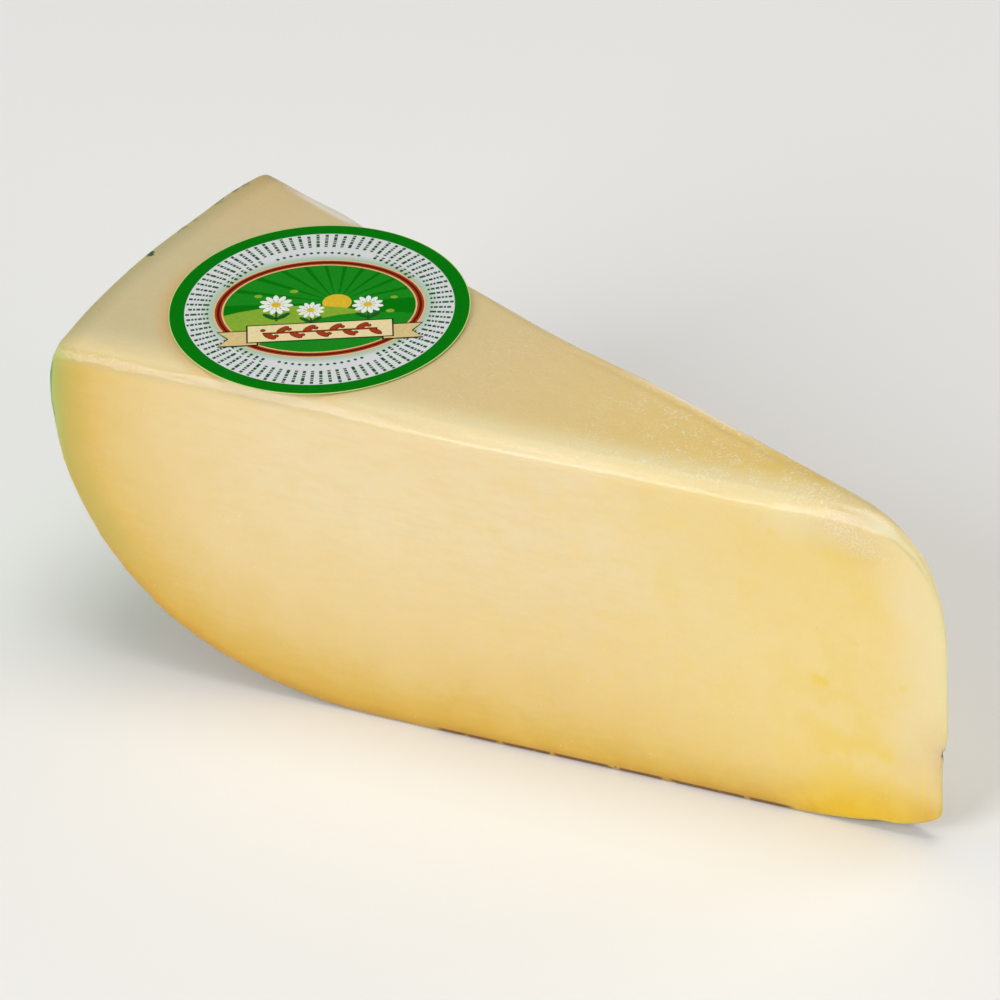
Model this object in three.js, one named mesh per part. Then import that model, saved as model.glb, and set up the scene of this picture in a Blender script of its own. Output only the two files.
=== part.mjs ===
// A slice of semi-hard goat cheese with a round paper label. The slice is one sixteenth of a
// wheel that was first halved flat-wise, so its top and its two long sides are cut paste, and
// only the curved rim and the underside carry rind.
//
// Millimetres, +Z up. The slice points along +X, rests on the wheel's underside, and the
// middle of its footprint is the origin.
import * as THREE from "three";
import { mergeVertices } from "three/addons/utils/BufferGeometryUtils.js";

// The wheel and the slice that is cut from it.
const WHEEL_RADIUS = 131.9;
const SLICE_ANGLE = THREE.MathUtils.degToRad(22.45);
const SLICE_HEIGHT = 51.5; // before it settles
const POINT_LOSS = 1.5; // the slice's point stops this far short of the wheel's centre

// Edges between two faces. Each is drawn in to a superellipse: a fullness of 2 is a true
// arc, and more is squarer. Reaches say how far the curve runs from either face.
const RIM_TUCK = 47; // the rim curves under the wheel, this far in from the rim
const RIM_CURVE_HEIGHT = 42;
const RIM_FULLNESS = 2.08;
const RIM_TOP_SET_BACK = 1.7; // the rim's upper edge is a little worn
const RIM_TOP_SET_BACK_AT_FAR_SIDE = 0.6;
const RIM_TOP_DROP = 7;
const POINT_SHOULDER_LENGTH = 17; // the worn upper corner of the point
const POINT_SHOULDER_DROP = 21;
const POINT_SHOULDER_FULLNESS = 2.5;
const POINT_LIFT_LENGTH = 24; // the lower corner of the point lifts off the table
const POINT_LIFT_HEIGHT = 4.2;
const POINT_LIFT_FULLNESS = 1.6;
const POINT_FOOT_RADIUS = 1.8;
const FAR_EDGE_RADIUS = 2.2; // where the far side meets the top, softened by handling
const FAR_EDGE_RADIUS_AT_POINT = 3.4;
const NEAR_EDGE_DROP = 1.8; // where the near side meets the top, rolled over
const NEAR_EDGE_SPREAD = 2.6;
const NEAR_EDGE_SPREAD_AT_POINT = 5.6;
const NEAR_EDGE_WIDENS_FROM = 20; // as the slice narrows, this far from the rim
const NEAR_EDGE_WIDENS_TO = 60;
const BASE_EDGE_RADIUS = 0.8;
const RIM_EDGE_RADIUS = 1.3; // where a cut side meets the rim
const POINT_EDGE_RADIUS = 0.9;

// The slice's own weight presses this much of its underside flat.
const SETTLING = 0.2;

// The unevenness of the surfaces: how far it goes, and how far apart its swells are.
const SIDE_SWELL = 0.35;
const SIDE_SWELL_SPAN = 46;
const TOP_DIP = 0.2;
const TOP_DIP_SPAN = 34;
const FAR_EDGE_DIP = 0.85; // a long hollow in the far edge of the top
const FAR_EDGE_DIP_FROM_RIM = 60;
const FAR_EDGE_DIP_REACH = 24;
const CORNER_RISE = 0.35; // the top's far corner stands a little proud
const CORNER_RISE_REACH = 20;
const FAR_LIP = 0.7; // a lip that the wire pulled out of the far edge, near the rim
const FAR_LIP_FROM_RIM = 17;
const FAR_LIP_REACH = 9;
const FAR_LIP_DROP = 6;
const RIM_DENT = 0.5;
const RIM_DENT_SPAN = 11;
const RIM_DENT_REACH = 6;

// The torn nick in the point, and the set-back below it.
const NICK_HEIGHT = 15;
const NICK_SOFTNESS = 1.5;
const NICK_SET_BACK = 1;
const NICK_REACH = 8;

// The label, which lies nearer the rim than the point and a little over the far edge.
const LABEL_RADIUS = 20.6;
const LABEL_THICKNESS = 0.2;
const LABEL_FROM_CENTRE = 101.9;
const LABEL_OFF_MIDDLE = THREE.MathUtils.degToRad(0.34);
const LABEL_GAP = 0.05;
const LABEL_SIDES = 96;

// The mesh of the slice: how many faces it has each way, and how closely its rows crowd
// towards the edges, where it curves most (0 is evenly spaced, 1 is as crowded as can be).
const FACES_ALONG = 50;
const FACES_ACROSS = 14;
const FACES_UP = 22;
const CROWDING = 0.7;

const SLICE_LENGTH = WHEEL_RADIUS - POINT_LOSS;
const HALF_WIDTH = (WHEEL_RADIUS * SLICE_ANGLE) / 2; // of the rim, measured round the arc

// The six faces of the block that becomes the slice. Its x runs from the rim to the point,
// its y round the wheel, and its z up.
const FACE = {
  rim: { axis: "x", at: 0, inward: 1 },
  point: { axis: "x", at: SLICE_LENGTH, inward: -1 },
  nearSide: { axis: "y", at: -HALF_WIDTH, inward: 1 },
  farSide: { axis: "y", at: HALF_WIDTH, inward: -1 },
  base: { axis: "z", at: 0, inward: 1 },
  top: { axis: "z", at: SLICE_HEIGHT, inward: -1 },
};

// A step from 0 to 1 that starts and ends gently.
function easeBetween(low, high, value) {
  return THREE.MathUtils.smoothstep(value, low, high);
}

// A smooth swell between -1 and 1 that doesn't repeat, with humps about a span apart.
function swell(a, b, span, phase) {
  const k = (2 * Math.PI) / span;
  return (
    (Math.sin(k * a + phase) +
      Math.sin(k * (0.62 * a + 0.78 * b) + 2.1 * phase) +
      Math.sin(k * (0.41 * a - 1.13 * b) + 3.7 * phase)) /
    3
  );
}

// Where a row stands between two faces, as a share of the way: evenly spaced rows come out
// crowded towards both faces.
function crowd(share) {
  return share - (CROWDING * Math.sin(2 * Math.PI * share)) / (2 * Math.PI);
}

// Draws in the edge between two faces. The reach of each face is the distance from it at
// which the curve ends on the other face.
function drawIn(point, faceA, reachA, faceB, reachB, fullness) {
  const u = 1 - ((point[faceA.axis] - faceA.at) * faceA.inward) / reachA;
  const v = 1 - ((point[faceB.axis] - faceB.at) * faceB.inward) / reachB;
  if (u <= 0 || v <= 0) return;
  const shrink =
    Math.max(u, v) / Math.pow(u ** fullness + v ** fullness, 1 / fullness);
  point[faceA.axis] = faceA.at + (1 - u * shrink) * reachA * faceA.inward;
  point[faceB.axis] = faceB.at + (1 - v * shrink) * reachB * faceB.inward;
}

// The distance that a length across the slice spans on the block, which is as wide all
// along as the slice is at its rim.
function spreadOnBlock(length, point) {
  const fromCentre = WHEEL_RADIUS - point.x;
  return Math.min(HALF_WIDTH, (length * WHEEL_RADIUS) / fromCentre);
}

// Rounds the edges of both cut sides.
function softenSides(point) {
  const nearSpread = THREE.MathUtils.lerp(
    NEAR_EDGE_SPREAD,
    NEAR_EDGE_SPREAD_AT_POINT,
    easeBetween(NEAR_EDGE_WIDENS_FROM, NEAR_EDGE_WIDENS_TO, point.x),
  );
  const farRadius = THREE.MathUtils.lerp(
    FAR_EDGE_RADIUS,
    FAR_EDGE_RADIUS_AT_POINT,
    easeBetween(SLICE_LENGTH / 2, SLICE_LENGTH, point.x),
  );
  const { nearSide, farSide, top } = FACE;
  const near = spreadOnBlock(nearSpread, point);
  const far = spreadOnBlock(farRadius, point);
  drawIn(point, nearSide, near, top, NEAR_EDGE_DROP, 2);
  drawIn(point, farSide, far, top, farRadius, 2);
  for (const side of [nearSide, farSide]) {
    const base = spreadOnBlock(BASE_EDGE_RADIUS, point);
    const rim = spreadOnBlock(RIM_EDGE_RADIUS, point);
    const tip = spreadOnBlock(POINT_EDGE_RADIUS, point);
    drawIn(point, side, base, FACE.base, BASE_EDGE_RADIUS, 2);
    drawIn(point, side, rim, FACE.rim, RIM_EDGE_RADIUS, 2);
    drawIn(point, side, tip, FACE.point, POINT_EDGE_RADIUS, 2);
  }
}

// Gives the slice the outline that its cut sides show.
function shapeOutline(point) {
  const { rim, point: tip, base, top } = FACE;
  const rimSetBack = THREE.MathUtils.lerp(
    RIM_TOP_SET_BACK,
    RIM_TOP_SET_BACK_AT_FAR_SIDE,
    easeBetween(-HALF_WIDTH, HALF_WIDTH, point.y),
  );
  drawIn(point, rim, RIM_TUCK, base, RIM_CURVE_HEIGHT, RIM_FULLNESS);
  drawIn(point, rim, rimSetBack, top, RIM_TOP_DROP, 2);
  drawIn(
    point,
    tip,
    POINT_SHOULDER_LENGTH,
    top,
    POINT_SHOULDER_DROP,
    POINT_SHOULDER_FULLNESS,
  );
  drawIn(point, tip, POINT_FOOT_RADIUS, base, POINT_FOOT_RADIUS, 2);
  drawIn(
    point,
    tip,
    POINT_LIFT_LENGTH,
    base,
    POINT_LIFT_HEIGHT,
    POINT_LIFT_FULLNESS,
  );
}

// The unevenness of the cut sides, which fades towards the middle of the slice.
function waveSides(point) {
  const across = point.y / HALF_WIDTH;
  const wave = swell(point.x, point.z, SIDE_SWELL_SPAN, Math.sign(across));
  const width = Math.min(1, (3 * (WHEEL_RADIUS - point.x)) / WHEEL_RADIUS);
  point.y += SIDE_SWELL * wave * width * across ** 3;
}

// Pulls the lip out of the far side's upper edge.
function pullLip(point) {
  const along = Math.abs(point.x - FAR_LIP_FROM_RIM) / FAR_LIP_REACH;
  const down = (SLICE_HEIGHT - point.z) / FAR_LIP_DROP;
  const atFarSide = Math.max(0, point.y / HALF_WIDTH) ** 4;
  const pull = (1 - easeBetween(0, 1, along)) * (1 - easeBetween(0, 1, down));
  point.y += FAR_LIP * pull * atFarSide;
}

// The unevenness of the top, which fades downwards.
function hollowTop(point) {
  const { x, y, z } = point;
  const towardsFar = (1 + y / HALF_WIDTH) / 2;
  const fromDip = Math.abs(x - FAR_EDGE_DIP_FROM_RIM) / FAR_EDGE_DIP_REACH;
  const fromCorner = Math.hypot(x, HALF_WIDTH - y) / CORNER_RISE_REACH;
  const shallow = TOP_DIP * (0.5 + 0.5 * swell(x, y, TOP_DIP_SPAN, 2.6));
  const long = FAR_EDGE_DIP * towardsFar ** 2 * (1 - easeBetween(0, 1, fromDip));
  const rise = CORNER_RISE * (1 - easeBetween(0, 1, fromCorner));
  point.z -= (shallow + long - rise) * (z / SLICE_HEIGHT) ** 4;
}

// Small dents along the rim's upper edge.
function dentRim(point) {
  const atRim = 1 - easeBetween(0, RIM_DENT_REACH, point.x);
  const dent = 0.5 + 0.5 * swell(point.y, point.z, RIM_DENT_SPAN, 0.4);
  point.x += RIM_DENT * dent * atRim * (point.z / SLICE_HEIGHT) ** 3;
}

// Sets the point back below its torn nick.
function nickPoint(point) {
  const atPoint = easeBetween(SLICE_LENGTH - NICK_REACH, SLICE_LENGTH, point.x);
  const above = easeBetween(
    NICK_HEIGHT - NICK_SOFTNESS,
    NICK_HEIGHT + NICK_SOFTNESS,
    point.z,
  );
  point.x -= NICK_SET_BACK * atPoint * (1 - above);
}

// Flattens the underside where it presses on the table.
function settle(point) {
  point.z = Math.max(point.z, SETTLING);
}

// Bends the block round the wheel's centre, which narrows it to the slice's point.
function sweepRoundCentre(point) {
  const fromCentre = WHEEL_RADIUS - point.x;
  const turn = point.y / WHEEL_RADIUS;
  point.x = -fromCentre * Math.cos(turn);
  point.y = fromCentre * Math.sin(turn);
}

function makeSlice() {
  const block = new THREE.BoxGeometry(
    1,
    1,
    1,
    FACES_ALONG,
    FACES_ACROSS,
    FACES_UP,
  );
  block.deleteAttribute("normal");
  block.deleteAttribute("uv");
  const geometry = mergeVertices(block);
  const corners = geometry.getAttribute("position");
  const point = new THREE.Vector3();
  for (let i = 0; i < corners.count; i++) {
    point.fromBufferAttribute(corners, i);
    point.set(
      crowd(point.x + 0.5) * SLICE_LENGTH,
      (2 * crowd(point.y + 0.5) - 1) * HALF_WIDTH,
      crowd(point.z + 0.5) * SLICE_HEIGHT,
    );
    softenSides(point);
    shapeOutline(point);
    waveSides(point);
    pullLip(point);
    hollowTop(point);
    dentRim(point);
    nickPoint(point);
    settle(point);
    sweepRoundCentre(point);
    corners.setXYZ(i, point.x, point.y, point.z);
  }
  geometry.computeVertexNormals();
  const paste = new THREE.MeshStandardMaterial({
    color: 0xead49b,
    roughness: 0.42,
    metalness: 0,
  });
  const slice = new THREE.Mesh(geometry, paste);
  slice.name = "cheese";
  return slice;
}

function makeLabel() {
  const disc = new THREE.CylinderGeometry(
    LABEL_RADIUS,
    LABEL_RADIUS,
    LABEL_THICKNESS,
    LABEL_SIDES,
  );
  disc.rotateX(Math.PI / 2);
  const paper = new THREE.MeshStandardMaterial({
    color: 0xdad6de,
    roughness: 0.35,
    metalness: 0,
  });
  const label = new THREE.Mesh(disc, paper);
  label.name = "label";
  label.position.set(
    -LABEL_FROM_CENTRE * Math.cos(LABEL_OFF_MIDDLE),
    LABEL_FROM_CENTRE * Math.sin(LABEL_OFF_MIDDLE),
    SLICE_HEIGHT + LABEL_GAP + LABEL_THICKNESS / 2,
  );
  return label;
}

// The slice and its label, moved so that the middle of their footprint is the origin.
function makeCheese() {
  const wheelCentre = new THREE.Group();
  wheelCentre.add(makeSlice(), makeLabel());
  const box = new THREE.Box3().setFromObject(wheelCentre);
  const middle = box.getCenter(new THREE.Vector3());
  wheelCentre.position.set(-middle.x, -middle.y, -box.min.z);
  const cheese = new THREE.Group();
  cheese.add(wheelCentre);
  return cheese;
}

export default makeCheese();
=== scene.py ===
"""A slice of semi-hard goat cheese with a round paper label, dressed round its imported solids.

The slice points along +X and rests on the wheel's underside; the cut side that the photograph
shows faces -Y. Blender works in metres; sizes here are fields in millimetres, turned to metres
by MM where a mesh or a socket needs them.
"""

import logging
import math
from collections.abc import Callable, Iterator
from contextlib import contextmanager
from dataclasses import dataclass
from enum import Enum

import bpy
import numpy as np
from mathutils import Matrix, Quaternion, Vector
from mathutils.kdtree import KDTree


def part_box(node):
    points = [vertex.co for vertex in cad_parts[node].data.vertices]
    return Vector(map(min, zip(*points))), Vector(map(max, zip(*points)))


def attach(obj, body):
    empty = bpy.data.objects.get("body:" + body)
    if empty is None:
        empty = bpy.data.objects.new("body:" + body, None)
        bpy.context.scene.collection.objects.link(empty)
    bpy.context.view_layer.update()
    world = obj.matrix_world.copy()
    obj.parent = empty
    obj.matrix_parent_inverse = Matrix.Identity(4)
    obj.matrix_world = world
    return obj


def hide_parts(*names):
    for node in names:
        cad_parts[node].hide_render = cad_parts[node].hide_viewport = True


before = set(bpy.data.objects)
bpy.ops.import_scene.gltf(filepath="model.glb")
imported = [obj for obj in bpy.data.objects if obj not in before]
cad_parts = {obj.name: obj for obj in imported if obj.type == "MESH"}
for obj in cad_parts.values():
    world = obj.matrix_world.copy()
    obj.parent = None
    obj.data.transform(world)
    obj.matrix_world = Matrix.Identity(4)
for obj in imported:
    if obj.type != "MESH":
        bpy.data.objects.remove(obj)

logging.basicConfig(level=logging.INFO, format="%(message)s")
log = logging.getLogger("goat_cheese")

MM = 0.001
BODY = "root"

# Places on the slice, in millimetres.
NEAR_RIM_CORNER = (-54, -24, 50)
FAR_RIM_CORNER = (-61, 24, 51)
LABEL_MIDDLE = (-35.3, 0.5, 51.3)
NICK = (62.6, -0.6, 14)


def linear(colour: str) -> tuple[float, float, float, float]:
    """Turns an sRGB hex colour to a linear one.

    Args:
        colour: The colour, such as "#EFDAA6".

    Returns:
        Red, green, blue and an alpha of 1.
    """
    channels = [int(colour[i : i + 2], 16) / 255 for i in (1, 3, 5)]
    return (
        *(c / 12.92 if c <= 0.04045 else ((c + 0.055) / 1.055) ** 2.4 for c in channels),
        1.0,
    )


def add_node(
    tree: bpy.types.NodeTree, kind: str, inputs: dict | None = None, **settings: object
) -> bpy.types.Node:
    """Adds a node to a tree, with its settings and its links.

    Args:
        tree: The tree of a material, a world or a light.
        kind: The node's type, without the leading "ShaderNode".
        inputs: A value, or the socket to link from, for each input by name or number.
        settings: The node's own properties.

    Returns:
        The node.
    """
    node = tree.nodes.new("ShaderNode" + kind)
    for name, value in settings.items():
        setattr(node, name, value)
    for key, value in (inputs or {}).items():
        if isinstance(value, bpy.types.NodeSocket):
            tree.links.new(value, node.inputs[key])
        else:
            node.inputs[key].default_value = value
    return node


def new_material(name: str) -> tuple[bpy.types.Material, bpy.types.NodeTree]:
    """Makes a material with an empty node tree.

    Args:
        name: What the finish is.

    Returns:
        The material and its tree.
    """
    material = bpy.data.materials.new(name)
    material.use_nodes = True
    material.node_tree.nodes.clear()
    return material, material.node_tree


def ease(low: float, high: float, values: np.ndarray) -> np.ndarray:
    """Goes smoothly from 0 at low to 1 at high; low may be the larger of the two."""
    t = np.clip((values - low) / (high - low), 0, 1)
    return t * t * (3 - 2 * t)


def hump(centre: float, reach: float, values: np.ndarray) -> np.ndarray:
    """Is 1 at the centre, and falls smoothly to 0 at the reach on both sides."""
    return ease(1, 0, np.abs(values - centre) / reach)


def use_alone(piece: bpy.types.Object) -> None:
    """Makes a piece the only one that is selected, and the active one."""
    bpy.ops.object.select_all(action="DESELECT")
    piece.select_set(True)
    bpy.context.view_layer.objects.active = piece


def apply_modifiers(piece: bpy.types.Object) -> None:
    """Applies every modifier of a piece, from the first to the last."""
    use_alone(piece)
    for modifier in list(piece.modifiers):
        bpy.ops.object.modifier_apply(modifier=modifier.name)


def bake_transform(piece: bpy.types.Object) -> None:
    """Puts a piece's place, turn and scale in its mesh."""
    use_alone(piece)
    bpy.ops.object.transform_apply(location=True, rotation=True, scale=True)


@contextmanager
def editing(piece: bpy.types.Object, all_selected: bool = True) -> Iterator[None]:
    """Opens a piece's mesh for editing, and closes it again.

    Args:
        piece: The piece.
        all_selected: Whether all of it is to be selected, or only what was.
    """
    use_alone(piece)
    bpy.ops.object.mode_set(mode="EDIT")
    if all_selected:
        bpy.ops.mesh.select_all(action="SELECT")
    yield
    bpy.ops.object.mode_set(mode="OBJECT")


@contextmanager
def guide(name: str) -> Iterator[bpy.types.Object]:
    """Lends an empty that steers a modifier, and takes it away again."""
    empty = bpy.data.objects.new(name, None)
    bpy.context.scene.collection.objects.link(empty)
    yield empty
    bpy.data.objects.remove(empty)


def finish_piece(piece: bpy.types.Object, material: bpy.types.Material) -> None:
    """Puts a piece's place in its mesh, dresses it and lets it ride.

    Args:
        piece: The modelled piece.
        material: Its finish.
    """
    bake_transform(piece)
    piece.data.materials.clear()
    piece.data.materials.append(material)
    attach(piece, BODY)
    log.info("%s: %d faces", piece.name, len(piece.data.polygons))


@dataclass(frozen=True)
class Wheel:
    """The wheel that the slice was cut from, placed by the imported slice's box.

    Attributes:
        radius: The wheel's radius.
        dented: How far the rim's dents keep the slice's box short of that radius.
        slice_angle: The angle between the cut sides.
    """

    radius: float = 131.9
    dented: float = 0.17
    slice_angle: float = math.radians(22.45)

    @property
    def centre_x(self) -> float:
        """The wheel's centre along X, in millimetres."""
        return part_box("cheese")[0].x / MM + self.radius - self.dented


class Skin:
    """The places and normals of a slice's vertices, in the terms that a cutter would use.

    Distances are in millimetres. The sides are named by where they face in the photograph.

    Attributes:
        RIDGE: How far from the near side, and how high, the near side turns to the top.
    """

    RIDGE = (0.35, 50.1)

    def __init__(self, mesh: bpy.types.Mesh, wheel: Wheel) -> None:
        """Reads the mesh.

        Args:
            mesh: The slice's mesh.
            wheel: The wheel that it was cut from.
        """
        count = len(mesh.vertices)
        places = np.empty(count * 3)
        mesh.vertices.foreach_get("co", places)
        normals = np.empty(count * 3)
        mesh.vertex_normals.foreach_get("vector", normals)
        self.x, self.y, self.z = places.reshape(-1, 3).T / MM
        normal_x, normal_y, self.facing_up = normals.reshape(-1, 3).T
        inwards = wheel.centre_x - self.x
        self.from_centre = np.hypot(inwards, self.y)
        turn = np.arctan2(self.y, inwards)
        self.from_near = self.from_centre * np.sin(turn + wheel.slice_angle / 2)
        self.from_far = self.from_centre * np.sin(wheel.slice_angle / 2 - turn)
        self.facing_far = normal_x * np.sin(turn) + normal_y * np.cos(turn)
        self.facing_out = -normal_x * np.cos(turn) + normal_y * np.sin(turn)

    def sides(self) -> np.ndarray:
        """Is 1 on the two cut sides."""
        return ease(0.75, 0.95, np.abs(self.facing_far))

    def top(self) -> np.ndarray:
        """Is 1 on the cut top."""
        return ease(0.6, 0.95, self.facing_up)

    def rind(self) -> np.ndarray:
        """Is 1 on the rim and the underside, which carry rind, up to their edges."""
        edge = 0.5 + 0.47 * ease(33, 41, self.z)
        off_sides = ease(0, 0.15, edge - np.abs(self.facing_far))
        off_top = ease(0.5, 0.1, self.facing_up)
        off_point = ease(0.5, 0.2, -self.facing_out)
        return off_sides * off_top * off_point

    def from_rind(self, most: float) -> np.ndarray:
        """How far each vertex is from the rind, in the plane of a cut side.

        Args:
            most: The distance past which it no longer matters.

        Returns:
            The distances, up to the most.
        """
        rind = np.flatnonzero(self.rind() > 0.5)
        tree = KDTree(len(rind))
        for index in rind:
            tree.insert((self.from_centre[index], self.z[index], 0), int(index))
        tree.balance()
        found = [tree.find((d, z, 0))[2] for d, z in zip(self.from_centre, self.z)]
        return np.minimum(found, most)

    def near_ridge(self, reach: float) -> np.ndarray:
        """Is 1 on the ridge where the near side turns to the top, and falls to 0 at a reach."""
        inwards, height = self.RIDGE
        return ease(reach, 0, np.hypot(self.from_near - inwards, self.z - height))

    def rim_edges(self) -> np.ndarray:
        """Is 1 where the cut sides meet the curved rim, below its upper part."""
        edge = hump(0.75, 0.35, np.abs(self.facing_far))
        return edge * ease(44, 34, self.z) * ease(72, 92, self.from_centre)

    def shoulder_frost(self) -> np.ndarray:
        """Is 1 on the patch of the near side's shoulder where the film has gone frosty."""
        patch = hump(47.5, 3.6, self.z - 0.45 * (self.from_centre - 15))
        return patch * hump(14.5, 9, self.from_centre) * ease(0.4, 0, self.facing_far)

    def marks(self, places: tuple[tuple[float, float, float], ...]) -> np.ndarray:
        """Is 1 at small marks on the near side.

        Args:
            places: The distance from the wheel's centre, the height and the reach of each.

        Returns:
            The mask.
        """
        near = ease(0.5, 0.3, self.from_near)
        spots = [ease(r, 0.3 * r, np.hypot(self.from_centre - d, self.z - z)) for d, z, r in places]
        return near * np.max(spots, axis=0)

    def ball(self, centre: tuple[float, float, float], reach: float) -> np.ndarray:
        """Is 1 at a centre, and falls smoothly to 0 at a reach all round it."""
        x, y, z = centre
        return ease(reach, 0, np.sqrt((self.x - x) ** 2 + (self.y - y) ** 2 + (self.z - z) ** 2))


@dataclass(frozen=True)
class Relief:
    """One pass of relief over the slice, pushed along its normals.

    Attributes:
        name: What made it.
        height: How far it reaches, negative for a hollow. With a grain it is half out, half in.
        mask: Where it is, from 0 to 1 for each vertex.
        grain: The size of its bumps, or None for an even push.
        stretch: How many times longer the bumps are along each axis.
    """

    name: str
    height: float
    mask: Callable[[Skin], np.ndarray]
    grain: float | None = None
    stretch: tuple[float, float, float] = (1, 1, 1)

    def press(self, piece: bpy.types.Object, wheel: Wheel) -> None:
        """Presses the relief into a piece.

        Args:
            piece: The slice.
            wheel: The wheel that it was cut from.
        """
        weights = np.clip(self.mask(Skin(piece.data, wheel)), 0, 1)
        group = piece.vertex_groups.new(name=self.name)
        for index in np.flatnonzero(weights > 0.002):
            group.add([int(index)], float(weights[index]), "REPLACE")
        push = piece.modifiers.new(self.name, "DISPLACE")
        push.vertex_group = group.name
        push.strength = self.height * MM
        push.mid_level = 0.0
        if self.grain is None:
            apply_modifiers(piece)
            return
        push.mid_level = 0.5
        push.texture = bpy.data.textures.new(self.name, "CLOUDS")
        push.texture.noise_scale = self.grain * MM
        push.texture.noise_depth = 2
        with guide(self.name) as ruler:
            ruler.scale = self.stretch
            bpy.context.view_layer.update()
            push.texture_coords = "OBJECT"
            push.texture_coords_object = ruler
            apply_modifiers(piece)


RELIEFS = (
    Relief("wire_drag", 0.16, lambda s: s.sides(), grain=5, stretch=(6, 2, 1)),
    Relief("wire_drag_top", 0.14, lambda s: s.top(), grain=5, stretch=(3, 1, 1)),
    Relief("paste_grain", 0.07, lambda s: np.maximum(s.sides(), s.top()), grain=1.8),
    Relief(
        "rind_grain", 0.22, lambda s: s.rind() * ease(0, 3, s.z), grain=3.2, stretch=(1, 1, 1.6)
    ),
    Relief("near_edge_rounded", -0.32, lambda s: s.near_ridge(1.9)),
    Relief(
        "film_fold_far_edge",
        0.2,
        lambda s: hump(1.4, 0.8, s.from_far) * hump(46, 34, s.from_centre) * s.top(),
    ),
    Relief(
        "film_groove_far_edge",
        -0.14,
        lambda s: hump(2.7, 0.8, s.from_far) * hump(46, 34, s.from_centre) * s.top(),
    ),
    Relief(
        "film_creases_near_edge", 0.12, lambda s: s.near_ridge(1.6), grain=1.3, stretch=(4, 1, 1)
    ),
    Relief("frosted_shoulder", 0.16, lambda s: s.shoulder_frost(), grain=0.7),
    Relief("rim_corner_crinkle", 0.2, lambda s: s.ball(NEAR_RIM_CORNER, 9), grain=0.9),
    Relief("rim_edge_crinkle", 0.34, lambda s: s.rim_edges(), grain=2.2),
    Relief("label_pucker", 0.1, lambda s: s.top() * s.ball(LABEL_MIDDLE, 26), grain=6),
    Relief("nick_pleats", 0.3, lambda s: s.ball(NICK, 5), grain=1.1, stretch=(1, 1, 2.5)),
    Relief("nick", -0.5, lambda s: hump(14.6, 0.9, s.z) * ease(4.5, 2.2, s.from_centre)),
)


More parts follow.
